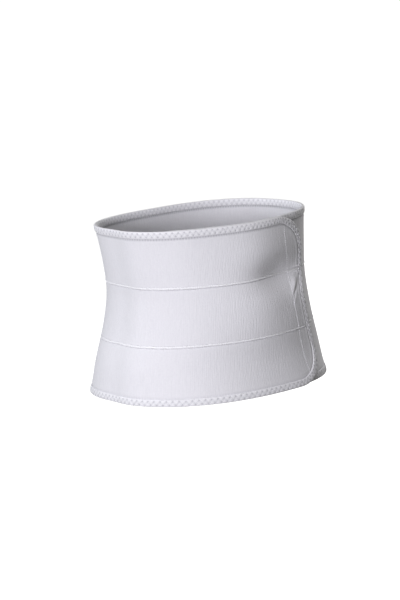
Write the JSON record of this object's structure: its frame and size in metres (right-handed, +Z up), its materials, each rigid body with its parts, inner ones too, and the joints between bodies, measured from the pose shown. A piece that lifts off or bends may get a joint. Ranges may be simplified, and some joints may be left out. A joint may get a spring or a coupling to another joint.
{
  "type": "abdominal binder",
  "caption": "Wide elastic belt wound round the waist: level strips with raised seams, a taped edge, and a round-cornered outer end lapped over the front.",
  "frame": {"origin": "middle of the torso opening, at half the belt's height", "axes": "+Z up along the wearer's body, -Y to the wearer's front, +X to the wearer's left"},
  "size_m": [0.3303, 0.2776, 0.229],
  "materials": {
    "elastic": "white ribbed elastic with a fine nap",
    "seam_thread": "white overlocked stitching",
    "binding_tape": "white woven binding tape with bumpy loops",
    "hook_tape": "white hook tape"
  },
  "bodies": {
    "root": {"upper_panel": "elastic", "middle_panel": "elastic", "lower_panel": "elastic", "upper_seam": "seam_thread", "lower_seam": "seam_thread", "edge_binding": "binding_tape", "hook_patch": "hook_tape"}
  },
  "joints": []
}
